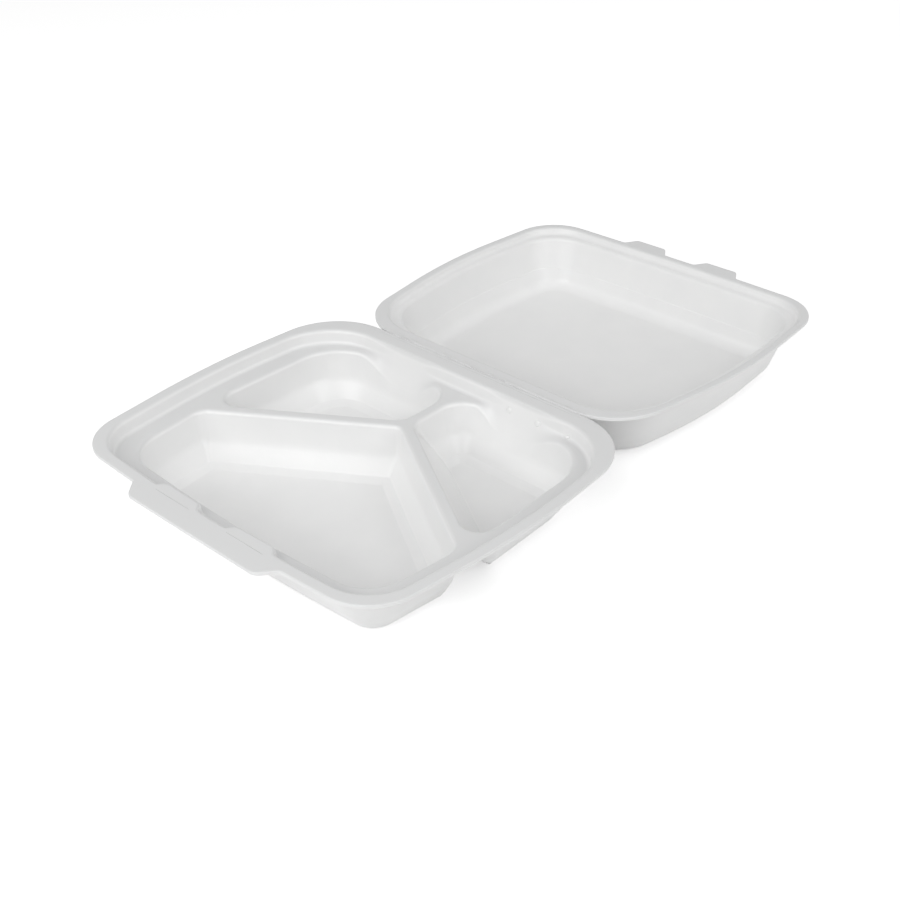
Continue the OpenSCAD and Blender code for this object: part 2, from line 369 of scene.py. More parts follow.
class FoamShell:
    """Gathers the points and faces of one thin foam piece, in millimetres."""

    LEAST_AREA = 2e-3
    LEAST_RISE = 1e-12
    SAME_POINT = 1e-6
    CLEAR_SHARE = 0.7
    KNOB_TOP = 84.0
    SHARP_ANGLE = 48.0

    def __init__(self) -> None:
        """Start an empty shell."""
        self.points: list[np.ndarray] = []
        self.faces: list[tuple[int, ...]] = []
        self.count = 0

    def add(self, points: np.ndarray) -> np.ndarray:
        """Add points and return their numbers."""
        self.points.append(points)
        self.count += len(points)
        return np.arange(self.count - len(points), self.count)

    def add_flat(self, points: np.ndarray, height: float) -> np.ndarray:
        """Add points of a plane at one height and return their numbers."""
        return self.add(np.column_stack([points, np.full(len(points), height)]))

    def places(self, numbers: np.ndarray) -> np.ndarray:
        """Return where the points with these numbers are, in the plane of the rim."""
        return np.concatenate(self.points)[numbers][:, :2]

    def loft(self, rings: Sequence[np.ndarray]) -> None:
        """Join closed rings of the same size one after the other."""
        for above, below in zip(rings, rings[1:]):
            above_next, below_next = np.roll(above, -1), np.roll(below, -1)
            self.faces += [
                tuple(map(int, quad)) for quad in zip(above, above_next, below_next, below)
            ]

    def fill(self, loops: Sequence[np.ndarray], height: float, spacing: float) -> None:
        """Close a flat area between loops with even triangles.

        Args:
            loops: Numbers of the points of the outer loop and of the holes in it.
            height: Height of the new inner points.
            spacing: Distance between the new inner points.
        """
        numbers = np.concatenate(loops)
        border = self.places(numbers)
        edges, start = [], 0
        for loop in loops:
            edges += [(start + k, start + (k + 1) % len(loop)) for k in range(len(loop))]
            start += len(loop)
        inner = self.inner_points(border, edges, spacing)
        everything = np.concatenate([numbers, self.add_flat(inner, height)])
        flat = [Vector(p) for p in np.concatenate([border, inner])]
        meshed = geometry.delaunay_2d_cdt(flat, edges, [], 0, self.SAME_POINT)
        corners, _, triangles, origin, _, _ = meshed
        spans = np.array([[corners[i] for i in triangle] for triangle in triangles])
        first, second = spans[:, 1] - spans[:, 0], spans[:, 2] - spans[:, 0]
        area = np.abs(first[:, 0] * second[:, 1] - first[:, 1] * second[:, 0]) / 2
        kept = self.inside(spans.mean(axis=1), border, edges) & (area > self.LEAST_AREA)
        for triangle, keep in zip(triangles, kept):
            if keep:
                self.faces.append(tuple(int(everything[origin[i][0]]) for i in triangle))

    @staticmethod
    def inside(points: np.ndarray, border: np.ndarray, edges: list[tuple[int, int]]) -> np.ndarray:
        """Tell which points lie inside loops.

        Args:
            points: Points to test.
            border: Points of all loops.
            edges: Pairs of border points that are joined.

        Returns:
            True for each point that an odd number of edges lies beside.
        """
        pairs = np.array(edges)
        a, b = border[pairs[:, 0]], border[pairs[:, 1]]
        x, y = points[:, :1], points[:, 1:]
        spans = (a[:, 1] > y) != (b[:, 1] > y)
        rise = np.where(b[:, 1] == a[:, 1], FoamShell.LEAST_RISE, b[:, 1] - a[:, 1])
        at = a[:, 0] + (y - a[:, 1]) * (b[:, 0] - a[:, 0]) / rise
        return (np.sum(spans & (x < at), axis=1) % 2) == 1

    @classmethod
    def inner_points(
        cls, border: np.ndarray, edges: list[tuple[int, int]], spacing: float
    ) -> np.ndarray:
        """Spread points in a triangular grid over a flat area.

        Args:
            border: Points of the loops round the area.
            edges: Pairs of border points that are joined.
            spacing: Distance between the points.

        Returns:
            The grid points inside the area and clear of its edges.
        """
        low, high = border.min(axis=0), border.max(axis=0)
        rows = np.arange(low[1], high[1], spacing * math.sqrt(0.75))
        columns = np.arange(low[0], high[0], spacing)
        grid = [
            np.column_stack([columns + (k % 2) * spacing / 2, np.full(len(columns), y)])
            for k, y in enumerate(rows)
        ]
        points = np.concatenate(grid)
        points = points[cls.inside(points, border, edges)]
        gaps = np.linalg.norm(points[:, None] - border[None], axis=2).min(axis=1)
        return points[gaps > cls.CLEAR_SHARE * spacing]

    def knob(self, centre: Sequence[float], radii: Sequence[float], count: int = 16) -> None:
        """Add a small closed ellipsoid.

        Args:
            centre: Its middle.
            radii: Its three half widths.
            count: Points in each of its rings.
        """
        around = np.linspace(0.0, 2 * math.pi, count, endpoint=False)
        rings = []
        for up in np.radians(np.linspace(-self.KNOB_TOP, self.KNOB_TOP, count // 2)):
            out, height = math.cos(up), np.full(count, math.sin(up))
            ring = np.stack([np.cos(around) * out, np.sin(around) * out, height], axis=1)
            rings.append(self.add(ring * radii + centre))
        self.loft(rings)
        self.faces += [tuple(map(int, ring)) for ring in (rings[0], rings[-1])]

    def build(
        self,
        name: str,
        place: Callable[[np.ndarray], np.ndarray],
        painted_flat_shade: Callable[[np.ndarray], np.ndarray],
    ) -> bpy.types.Object:
        """Make the shell's object.

        Args:
            name: Name of the piece.
            place: Turns millimetres of the shell into metres of the frame.
            painted_flat_shade: Tells how far painted shade darkens each point, up to 1, as on the
                flat tops.

        Returns:
            The smooth-shaded object, in place.
        """
        points = np.concatenate(self.points)
        mesh = bpy.data.meshes.new(name)
        mesh.from_pydata(place(points).tolist(), [], self.faces)
        # Store on each point how far painted shade darkens it, for the material to use.
        layer = mesh.attributes.new(FLAT_SHADE, "FLOAT", "POINT")
        layer.data.foreach_set("value", painted_flat_shade(points).astype(np.float32))
        piece = linked(name, mesh)
        self.face_outward(mesh)
        mesh.shade_smooth()
        mesh.set_sharp_from_angle(angle=math.radians(self.SHARP_ANGLE))
        weighted = piece.modifiers.new("flat faces stay flat", "WEIGHTED_NORMAL")
        weighted.keep_sharp = True
        return piece

    @staticmethod
    def face_outward(mesh: bpy.types.Mesh) -> None:
        """Turn all faces of a closed mesh outward and drop loose points."""
        work = bmesh.new()
        work.from_mesh(mesh)
        bmesh.ops.delete(work, geom=[v for v in work.verts if not v.link_faces], context="VERTS")
        bmesh.ops.recalc_face_normals(work, faces=work.faces)
        work.to_mesh(mesh)
        work.free()


@dataclass(frozen=True)
class FoamSheet:
    """The foam sheet that both halves are formed from.

    Attributes:
        thickness: Thickness of the sheet.
        lip_r: Radius where the lip turns down into a wall.
        rim_lean: Lean of the wall under the lip, in degrees.
        cut_r: Radius of the cut edge of the lip.
        wave: Height of the slow unevenness of the pressed sheet.
        wave_length: Length of that unevenness.
        wave_seed: Seed of that unevenness, the same in every run.
        wave_upright: How much a height counts beside a place in the plane, for that unevenness.
        wave_parts: Share of the unevenness along each axis.
        crease_gap: Clearance of the hinge crease.
        axis_up: Height of the hinge axis over the rim plane.
        grid: Distance between the points of flat areas.
        floor_grid: Distance between the points of the compartments' floors.
        shade_fade: Height over which the painted shade of a flat top fades out into a wall.
    """

    thickness: float = 2.2
    lip_r: float = 2.6
    rim_lean: float = 8.0
    cut_r: float = 0.7
    wave: float = 0.16
    wave_length: float = 42.0
    wave_seed: int = 7
    wave_upright: float = 0.3
    wave_parts: tuple[float, float, float] = (0.6, 0.6, 1.0)
    crease_gap: float = 0.04
    axis_up: float = 0.15
    grid: float = 5.0
    floor_grid: float = 2.5
    shade_fade: float = 1.5

    CUT_STEPS = 5

    def uneven(self, points: np.ndarray) -> np.ndarray:
        """Return the points moved by the slow unevenness of the sheet."""
        noise.seed_set(self.wave_seed)
        moved = points.copy()
        for k, point in enumerate(points):
            at = Vector((point[0], point[1], self.wave_upright * point[2])) / self.wave_length
            moved[k] += self.wave * np.array(noise.noise_vector(at)) * self.wave_parts
        return moved

    def cut_edge(self, shell: FoamShell, outline: Outline) -> tuple[np.ndarray, np.ndarray]:
        """Make the rounded cut edge round a rim.

        Args:
            shell: Shell that the edge is added to.
            outline: Outline of the rim, tabs included.

        Returns:
            The loops where the edge meets the top and the back of the lip.
        """
        quarter = np.radians(np.linspace(0.0, 90.0, self.CUT_STEPS))
        rings = [(self.cut_r * (1 - math.sin(a)), self.cut_r * (math.cos(a) - 1)) for a in quarter]
        rings += [(inset, -height - self.thickness) for inset, height in reversed(rings)]
        loops = [shell.add_flat(outline.ring(inset), height) for inset, height in rings]
        shell.loft(loops)
        return loops[0], loops[-1]

    def wall(
        self,
        shell: FoamShell,
        outline: Outline,
        section: Section,
        shape: Callable[[np.ndarray, float, Side], np.ndarray] | None = None,
    ) -> dict[Side, tuple[np.ndarray, np.ndarray]]:
        """Make a wall on both faces of the sheet.

        Args:
            shell: Shell that the wall is added to.
            outline: Outline at the wall's upper end.
            section: Section of the wall.
            shape: Moves the points of each ring, where the wall isn't even.

        Returns:
            The upper and lower loop on each side of the sheet.
        """
        ends = {}
        for side in Side:
            rings = []
            for inset, height in section.face(side, self.thickness):
                ring = outline.ring(inset)
                rings.append(shell.add_flat(shape(ring, height, side) if shape else ring, height))
            shell.loft(rings)
            ends[side] = (rings[0], rings[-1])
        return ends

    def painted_flat_shade(self, height: np.ndarray, flat: float) -> np.ndarray:
        """Tell how far painted shade darkens heights near a flat: 1 on it and 0 away from it."""
        # Painted shade: flats facing up are darkened, fading out down the walls.
        return smooth(np.clip(1.0 - np.abs(height - flat) / self.shade_fade, 0.0, 1.0))

    def level(self, height: float, side: Side) -> float:
        """Return the height of one face of a flat whose food side is at a height."""
        return height if side is Side.FOOD else height - self.thickness


# ------------------------------------------------------------------------------- the two halves


BOW_SHARE = 0.42
OUTER_MIDDLE = 4


@dataclass(frozen=True)
class Flap:
    """Flat flap on the edge of a rim: an apron or a locking tab."""

    middle: float
    root: float
    tip: float
    end: float
    root_r: float = 2.5
    tip_r: float = 3.0


def bow_radius(half: float, bow: float) -> float:
    """Return the radius that rounds the middle corner of a bowed edge."""
    return BOW_SHARE * half * half / bow


def bowed_rim(
    widths: Point, depth: float, bows: Point, radii: Point, crease: float, outward: float
) -> Outline:
    """Build the outline of a rim with bowed sides and a bowed outer edge.

    Args:
        widths: Width at the outer corners and at the hinge.
        depth: Distance of the outer corners from the hinge.
        bows: How far the sides and the outer edge stand out in their middle.
        radii: Radius of the outer corners and of the ones at the hinge.
        crease: Distance of the inner edge from the middle of the hinge.
        outward: 1 for the half at the higher y and -1 for the one at the lower.

    Returns:
        The outline, which starts at the hinge; OUTER_MIDDLE is the middle of its outer edge.
    """
    half, hinge = widths[0] / 2, widths[1] / 2
    middle = (half + hinge) / 2 + bows[0]
    side_r, outer_r = bow_radius(depth / 2, bows[0]), bow_radius(half, bows[1])
    corners = (
        (-hinge, crease),
        (hinge, crease),
        (middle, depth / 2),
        (half, depth),
        (0.0, depth + bows[1]),
        (-half, depth),
        (-middle, depth / 2),
    )
    corner_r, hinge_r = radii
    return Outline(
        tuple((outward * x, outward * y) for x, y in corners),
        (hinge_r, hinge_r, side_r, corner_r, outer_r, corner_r, side_r),
    )


def with_flaps(outline: Outline, outward: float, flaps: Sequence[Flap]) -> Outline:
    """Add flaps to the outer edge of a rim.

    Args:
        outline: Outline of the rim.
        outward: 1 where the edge is at the highest y and -1 at the lowest.
        flaps: The flaps in the order in which the outline passes them.

    Returns:
        The outline of rim and flaps.
    """
    corners = list(outline.corners[:OUTER_MIDDLE])
    radii = list(outline.radii[:OUTER_MIDDLE])
    for flap in flaps:
        signs = (outward, -outward)
        root = [flap.middle + s * flap.root / 2 for s in signs]
        tip = [flap.middle + s * flap.tip / 2 for s in signs]
        first, last = ((x, outline.edge_at(x, outward)) for x in root)
        corners += [first, (tip[0], flap.end), (tip[1], flap.end), last]
        radii += [flap.root_r, flap.tip_r, flap.tip_r, flap.root_r]
    corners += outline.corners[OUTER_MIDDLE + 1 :]
    radii += outline.radii[OUTER_MIDDLE + 1 :]
    return replace(outline, corners=tuple(corners), radii=tuple(radii), pattern=None)


@dataclass
class BaseTray:
    """Base tray: rim, ledge, three compartments, front apron and pockets for the tabs."""

    foam: FoamSheet
    width: float = 218.0
    hinge_width: float = 226.0
    depth: float = 189.0
    side_bow: float = 8.5
    front_bow: float = 5.5
    front_r: float = 29.0
    hinge_r: float = 39.0
    floor_depth: float = 38.5
    lip_w: float = 5.0
    hinge_strip: float = 9.0
    ledge_depth: float = 8.5
    ledge_w: float = 8.0
    front_ledge_w: float = 5.8
    ledge_foot_r: float = 2.5
    hinge_ledge: float = 0.4
    meet_d: float = 56.5
    end_d: float = 117.0
    divider_w: float = 2.6
    mouth_r: float = 2.6
    wall_lean: float = 7.0
    belly_depth: float = 26.0
    belly_r: float = 12.0
    facet_run: float = 10.6
    facet_rise: float = 2.2
    facet_r: float = 1.5
    foot_run: float = 15.6
    foot_r: float = 4.0
    front_corner_r: tuple[float, float, float] = (9.0, 13.0, 26.0)
    front_taper: float = 1.5
    rear_corner_r: tuple[float, float, float, float] = (30.0, 17.0, 14.0, 12.0)
    rear_pace: tuple[float, float, float, float] = (1.0, 1.0, 1.0, 1.15)
    rear_run: tuple[float, float] = (0.8, 20.0)
    rear_spread: float = 2.5
    apron_root: float = 110.0
    apron_tip: float = 94.0
    apron_l: float = 6.5
    apron_tip_r: float = 7.0
    tab_gap: float = 54.0
    slit_l: float = 26.0
    slit_w: float = 0.14
    slit_round: float = 0.8
    slit_in: float = 4.0
    pocket_w: float = 34.0
    pocket_taper: float = 5.0
    pocket_d: float = 4.5
    hinge_wall_run: float = 11.0
    wall_start: tuple[float, float] = (14.0, 18.0)
    wall_end: tuple[float, float] = (48.0, 28.0)
    nub_x: tuple[float, float, float] = (35.0, 55.0, 75.0)
    nub_y: float = 12.6
    nub_depth: float = 7.4
    nub_r: tuple[float, float, float] = (1.7, 1.0, 1.3)
    rim: Outline = field(init=False)

    FRONT_SHARE = 0.8
    SLIT_SPACING = 2.0
    SLIT_TURN = 30.0

    def __post_init__(self) -> None:
        """Work out the rim's outline."""
        self.rim = bowed_rim(
            (self.width, self.hinge_width),
            self.depth,
            (self.side_bow, self.front_bow),
            (self.front_r, self.hinge_r),
            self.foam.crease_gap / 2,
            -1.0,
        )

    def rim_section(self) -> Section:
        """Return the section of the wall between lip and ledge."""
        lip_r, lean = self.foam.lip_r, self.foam.rim_lean
        foot = wall_foot(0.0, -self.ledge_depth, lip_r, lean, self.ledge_foot_r)
        return bowl_section(0.0, lip_r, lean, foot)

    def well_section(self) -> Section:
        """Return the section of a compartment wall, which ends in a sloping foot."""
        top, deep = -self.ledge_depth, -self.floor_depth
        belly = wall_foot(top, -self.belly_depth, self.mouth_r, self.wall_lean, self.belly_r)
        facet = Bend(self.facet_run, deep + self.facet_rise, self.facet_r)
        foot = Bend(self.foot_run, deep, self.foot_r)
        return bowl_section(top, self.mouth_r, self.wall_lean, belly, facet, foot)

    def wells(self) -> list[Outline]:
        """Return the mouths of the front, right and left compartments."""
        run = self.rim_section().bends[-1].inset
        hinge_in = self.hinge_strip + run + self.hinge_ledge
        side_in = self.lip_w + run + self.ledge_w
        front_in = self.lip_w + run + self.front_ledge_w
        inset = [hinge_in, side_in, side_in, front_in, front_in, side_in, side_in]
        mouth = self.rim.inset(inset).corners
        rear = self.rim.inset([hinge_in] + [side_in - self.rear_spread] * 6).corners
        front_left, front_middle, front_right, side = mouth[3:]
        end_x = crossing((0.0, -self.end_d), (1.0, -self.end_d), front_right, side)[0]
        fall = (self.meet_d - self.end_d) / end_x
        half_top = self.divider_w / 2 * math.hypot(1.0, fall)
        front_y, rear_y = -self.meet_d - half_top, -self.meet_d + half_top
        front_end = crossing((0.0, front_y), (1.0, front_y + fall), front_right, side)
        far_end = (-front_end[0], front_end[1])
        rear_end = crossing((0.0, rear_y), (1.0, rear_y + fall), rear[5], rear[6])
        apex_r, end_r, corner_r = self.front_corner_r
        front = Outline(
            ((0.0, front_y), far_end, front_left, front_middle, front_right, front_end),
            (apex_r, end_r, corner_r, self.rim.radii[OUTER_MIDDLE], corner_r, end_r),
            taper=self.front_taper,
        )
        beside = self.divider_w / 2
        right = Outline(
            (rear[0], (beside, mouth[0][1]), (beside, rear_y + fall * beside), rear_end),
            self.rear_corner_r,
            pace=self.rear_pace,
        )
        return [front, right, right.mirrored()]

    def pocketed(self, ring: np.ndarray, _height: float, _side: Side) -> np.ndarray:
        """Push a ring of the rim wall inward where the pockets for the tabs stand."""
        moved = ring.copy()
        front = ring[:, 1] < -self.FRONT_SHARE * self.depth
        for middle in (-self.tab_gap / 2, self.tab_gap / 2):
            share = (self.pocket_w / 2 - np.abs(ring[:, 0] - middle)) / self.pocket_taper
            moved[:, 1] += front * self.pocket_d * smooth(np.clip(share, 0.0, 1.0))
        return moved

    def sloped(self, ring: np.ndarray, height: float, side: Side) -> np.ndarray:
        """Let a rear compartment's wall fall in a straight slope from the divider to the floor.

        Args:
            ring: Ring of the compartment's wall.
            height: Height of the ring.
            side: Face of the sheet that the ring is on.

        Returns:
            The ring, cut straight where it would lie behind the slope.
        """
        right = self.wells()[1]
        flip = np.array([np.sign(ring[:, 0].mean()), 1.0])
        first, last = self.rear_run
        run = (last - first) / (self.floor_depth - self.ledge_depth)
        below = 0.0 if side is Side.FOOD else self.foam.thickness * math.hypot(1.0, 1.0 / run)
        reach = first + run * (-self.ledge_depth - height - below)
        away = (ring * flip - np.array(right.corners[2])) @ right.normals()[2] - reach
        behind = away < 0.0
        starts = np.flatnonzero(behind & ~np.roll(behind, 1))
        if len(starts) != 1:
            return ring
        order = np.roll(np.arange(len(ring)), 1 - starts[0])
        count = int(behind.sum())
        ends = []
        for outer, inner in ((order[0], order[1]), (order[count + 1], order[count])):
            share = away[outer] / (away[outer] - away[inner])
            ends.append(ring[outer] + share * (ring[inner] - ring[outer]))
        moved = ring.copy()
        moved[order[1 : count + 1]] = np.linspace(ends[0], ends[1], count)
        return moved

    def slits(self) -> list[np.ndarray]:
        """Return the loops of the two locking slits."""
        loops = []
        half, end_r = self.slit_l / 2, self.slit_w / 2
        for middle in (-self.tab_gap / 2, self.tab_gap / 2):
            y = self.rim.edge_at(middle, -1.0) + self.slit_in
            loop = Outline(
                (
                    (middle + half, y - end_r),
                    (middle + half, y + end_r),
                    (middle - half, y + end_r),
                    (middle - half, y - end_r),
                ),
                (self.slit_round * end_r,) * 4,
                spacing=self.SLIT_SPACING,
                turn=self.SLIT_TURN,
            )
            loops.append(loop.ring())
        return loops

    def build(self) -> FoamShell:
        """Return the tray's closed shell."""
        shell, foam = FoamShell(), self.foam
        front_y = -self.depth - self.front_bow - self.apron_l
        apron = Flap(0.0, self.apron_root, self.apron_tip, front_y, tip_r=self.apron_tip_r)
        lip = dict(zip(Side, foam.cut_edge(shell, with_flaps(self.rim, -1.0, [apron]))))
        step = self.rim.inset([self.hinge_strip] + [self.lip_w] * 6)
        rim_wall = foam.wall(shell, step, self.rim_section(), self.pocketed)
        section = self.well_section()
        shapes = (None, self.sloped, self.sloped)
        shaped = zip(self.wells(), shapes)
        wells = [foam.wall(shell, mouth, section, shape) for mouth, shape in shaped]
        slits = {s: [shell.add_flat(p, foam.level(0.0, s)) for p in self.slits()] for s in Side}
        for above, below in zip(slits[Side.FOOD], slits[Side.BACK]):
            shell.loft([above, below])
        for side in Side:
            flats = (0.0, -self.ledge_depth, -self.floor_depth)
            lip_z, ledge_z, floor_z = (foam.level(flat, side) for flat in flats)
            mouths = [well[side][0] for well in wells]
            shell.fill([lip[side], rim_wall[side][0], *slits[side]], lip_z, foam.grid)
            shell.fill([rim_wall[side][1], *mouths], ledge_z, foam.grid)
            for well in wells:
                shell.fill([well[side][1]], floor_z, foam.floor_grid)
        for x in self.nub_x:
            shell.knob((x, -self.nub_y, -self.nub_depth), self.nub_r)
        return shell

    def place(self, points: np.ndarray) -> np.ndarray:
        """Turn the tray's millimetres into metres of the frame."""
        under_axis = np.array([0.0, 0.0, self.foam.axis_up * MM])
        return self.foam.uneven(self.straightened(points)) * MM + HINGE - under_axis

    def painted_flat_shade(self, points: np.ndarray) -> np.ndarray:
        """Return the painted shade of the flat tops: full on the lip, the ledge and the divider
        tops.
        """
        lip, ledge = (self.foam.painted_flat_shade(points[:, 2], flat) for flat in (0.0, -self.ledge_depth))
        return np.maximum(lip, ledge * (1.0 - self.beside_hinge(points)))

    def beside_hinge(self, points: np.ndarray) -> np.ndarray:
        """Tell which points lie on the wall beside the hinge: 1 there, less towards its ends."""
        across = np.abs(points[:, 0])
        fades = (self.wall_start, self.wall_end)
        start, end = (smooth(np.clip((across - at) / fade, 0.0, 1.0)) for at, fade in fades)
        near = points[:, 1] > -self.hinge_strip - self.hinge_wall_run
        return near * start * (1.0 - end)

    def straightened(self, points: np.ndarray) -> np.ndarray:
        """Let the wall beside the hinge run straight from the lip into the rear compartments."""
        rim, _ = self.rim_section().path()
        well, _ = self.well_section().path()
        mouth = self.hinge_strip + rim[-1, 0] + self.hinge_ledge
        away = np.concatenate([self.hinge_strip + rim[:, 0], mouth + well[:, 0]])
        height = np.concatenate([rim[:, 1], well[:, 1]])
        start, end = self.hinge_strip + self.foam.lip_r / 2, self.hinge_strip + self.hinge_wall_run
        first, last = np.interp([start, end], away, height)
        at = np.clip(-points[:, 1], start, end)
        fall = first + (last - first) * (at - start) / (end - start) - np.interp(at, away, height)
        moved = points.copy()
        moved[:, 2] += self.beside_hinge(points) * fall
        return moved

    def dress(self, finish: "FoamFinish") -> bpy.types.Object:
        """Make the finished piece and put it on its body."""
        piece = self.build().build("base_tray_foam", self.place, self.painted_flat_shade)
        piece.data.materials.append(finish.material())
        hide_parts("base_tray")
        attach(piece, "base")
        return piece


@dataclass
class Lid:
    """Lid: lip, step, main wall, panel and two locking tabs."""

    foam: FoamSheet
    width: float = 210.0
    hinge_width: float = 194.0
    depth: float = 193.0
    side_bow: float = 12.0
    far_bow: float = 2.0
    far_r: float = 29.0
    hinge_r: float = 38.0
    panel_depth: float = 36.0
    step_depth: float = 4.2
    step_foot_r: float = 3.0
    step_ledge: float = 0.2
    step_lean: float = 12.0
    inner_r: float = 3.0
    lean: float = 17.0
    foot_r: float = 9.0
    lip_w: float = 2.8
    hinge_strip: float = 7.0
    tab_gap: float = 54.0
    tab_root: float = 32.0
    tab_tip: float = 22.0
    tab_l: float = 7.5
    line_depth: float = 23.0
    line_w: float = 0.3
    line_h: float = 0.4
    line_r: float = 0.5
    rim: Outline = field(init=False)

    def __post_init__(self) -> None:
        """Work out the rim's outline."""
        self.rim = bowed_rim(
            (self.width, self.hinge_width),
            self.depth,
            (self.side_bow, self.far_bow),
            (self.far_r, self.hinge_r),
            self.foam.crease_gap / 2,
            1.0,
        )

    def step_section(self) -> Section:
        """Return the section of the step under the lip."""
        lip_r, lean = self.foam.lip_r, self.step_lean
        foot = wall_foot(0.0, -self.step_depth, lip_r, lean, self.step_foot_r)
        return bowl_section(0.0, lip_r, lean, foot)

    def wall_section(self) -> Section:
        """Return the section of the main wall, with the fine line along it."""
        top, deep = -self.step_depth, -self.panel_depth
        line = wall_foot(top, -self.line_depth, self.inner_r, self.lean, self.line_r)
        below = Bend(line.inset + self.line_w, line.height - self.line_h, self.line_r)
        foot = wall_foot(top, deep, self.inner_r, self.lean, self.foot_r)
        foot = replace(foot, inset=foot.inset + self.line_w)
        return bowl_section(top, self.inner_r, self.lean, line, below, foot)

    def mouths(self) -> tuple[Outline, Outline]:
        """Return the outlines at the lip's inner edge and at the top of the main wall."""
        mouth = self.rim.inset([self.hinge_strip] + [self.lip_w] * 6)
        run = self.step_section().bends[-1].inset + self.step_ledge
        return mouth, mouth.inset([run] * 7)

    def lean_back(self) -> float:
        """Return the angle by which the open lid leans until its panel's far edge is down."""
        _, inner = self.mouths()
        far = float(inner.ring(self.wall_section().bends[-1].inset)[:, 1].max())
        low = self.panel_depth + self.foam.thickness + self.foam.axis_up
        axis = float(HINGE[2]) / MM
        return math.asin(axis / math.hypot(far, low)) - math.atan2(low, far)

    def build(self) -> FoamShell:
        """Return the lid's closed shell."""
        shell, foam = FoamShell(), self.foam
        end = self.depth + self.far_bow + self.tab_l
        tabs = [
            Flap(x, self.tab_root, self.tab_tip, end) for x in (self.tab_gap / 2, -self.tab_gap / 2)
        ]
        lip = dict(zip(Side, foam.cut_edge(shell, with_flaps(self.rim, 1.0, tabs))))
        mouth, inner = self.mouths()
        step = foam.wall(shell, mouth, self.step_section())
        wall = foam.wall(shell, inner, self.wall_section())
        for side in Side:
            shell.fill([lip[side], step[side][0]], foam.level(0.0, side), foam.grid)
            shell.loft([step[side][1], wall[side][0]])
            shell.fill([wall[side][1]], foam.level(-self.panel_depth, side), foam.grid)
        return shell

    def place(self, points: np.ndarray) -> np.ndarray:
        """Turn the lid's millimetres into metres of the frame."""
        turn = np.array(Matrix.Rotation(-self.lean_back(), 3, "X"))
        over = self.foam.uneven(points) - np.array([0.0, 0.0, self.foam.axis_up])
        return over @ turn.T * MM + HINGE

    def painted_flat_shade(self, points: np.ndarray) -> np.ndarray:
        """Return the painted shade of the flat tops: full on the lip and the tabs."""
        return self.foam.painted_flat_shade(points[:, 2], 0.0)

    def dress(self, finish: "FoamFinish") -> bpy.types.Object:
        """Make the finished piece and put it on its body."""
        piece = self.build().build("lid_foam", self.place, self.painted_flat_shade)
        piece.data.materials.append(finish.material())
        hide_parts("lid")
        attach(piece, "lid_body")
        return piece


# ------------------------------------------------------------------------------------ finishes


class Signal:
    """Shader socket that takes part in Python arithmetic."""

    def __init__(self, pad: "NodePad", socket: bpy.types.NodeSocket | None) -> None:
        """Wrap an output socket of a node pad, or none for a closing node."""
        self.pad = pad
        self.socket = socket

    def __add__(self, other: "Signal | float") -> "Signal":
        """Add a value."""
        return self.pad.math("ADD", self, other)

    __radd__ = __add__

    def __mul__(self, other: "Signal | float") -> "Signal":
        """Multiply by a value."""
        return self.pad.math("MULTIPLY", self, other)

    __rmul__ = __mul__

    def __sub__(self, other: "Signal | float") -> "Signal":
        """Subtract a value."""
        return self.pad.math("SUBTRACT", self, other)

    def __rsub__(self, other: "Signal | float") -> "Signal":
        """Subtract this signal from a value."""
        return self.pad.math("SUBTRACT", other, self)


class NodePad:
    """Node tree of one material or of the world."""

    MIX_COLOURS = (6, 7)
    MIX_RESULT = 2

    def __init__(self, tree: bpy.types.NodeTree) -> None:
        """Start with an empty tree."""
        self.tree = tree
        tree.nodes.clear()

    def node(
        self,
        kind: str,
        settings: dict[str, object] | None = None,
        inputs: dict[str | int, object] | None = None,
        output: str | int = 0,
    ) -> Signal:
        """Add a node.

        Args:
            kind: Type of the node.
            settings: Properties that are set before anything else.
            inputs: Values or signals for its sockets.
            output: Socket that is handed on.

        Returns:
            The chosen output.
        """
        made = self.tree.nodes.new(kind)
        for name, value in (settings or {}).items():
            setattr(made, name, value)
        for name, value in (inputs or {}).items():
            if isinstance(value, Signal):
                self.tree.links.new(value.socket, made.inputs[name])
            else:
                made.inputs[name].default_value = value
        return Signal(self, made.outputs[output] if len(made.outputs) else None)

    def math(self, operation: str, a: Signal | float, b: Signal | float) -> Signal:
        """Add a Math node and return its result."""
        return self.node("ShaderNodeMath", {"operation": operation}, {0: a, 1: b})

    def ramp(self, distance: Signal, reach: float) -> Signal:
        """Return a value that falls from 1 at no distance to 0 at the reach."""
        return self.math("MAXIMUM", 1.0 - distance * (1.0 / reach), 0.0)

    def blend(self, factor: Signal, first: object, second: object) -> Signal:
        """Return a colour between two colours."""
        inputs = {"Factor": factor, **dict(zip(self.MIX_COLOURS, (first, second)))}
        return self.node("ShaderNodeMix", {"data_type": "RGBA"}, inputs, self.MIX_RESULT)

    def scaled(self, vector: Signal, scale: Sequence[float]) -> Signal:
        """Return a vector with each part multiplied."""
        return self.node(
            "ShaderNodeVectorMath", {"operation": "MULTIPLY"}, {0: vector, 1: tuple(scale)}
        )

    def noise(self, vector: Signal, size: float, detail: float) -> Signal:
        """Return a noise of about 0 to 1 whose lumps have a size in metres."""
        inputs = {"Vector": vector, "Scale": 1.0 / size, "Detail": detail}
        return self.node("ShaderNodeTexNoise", {}, inputs, "Fac")


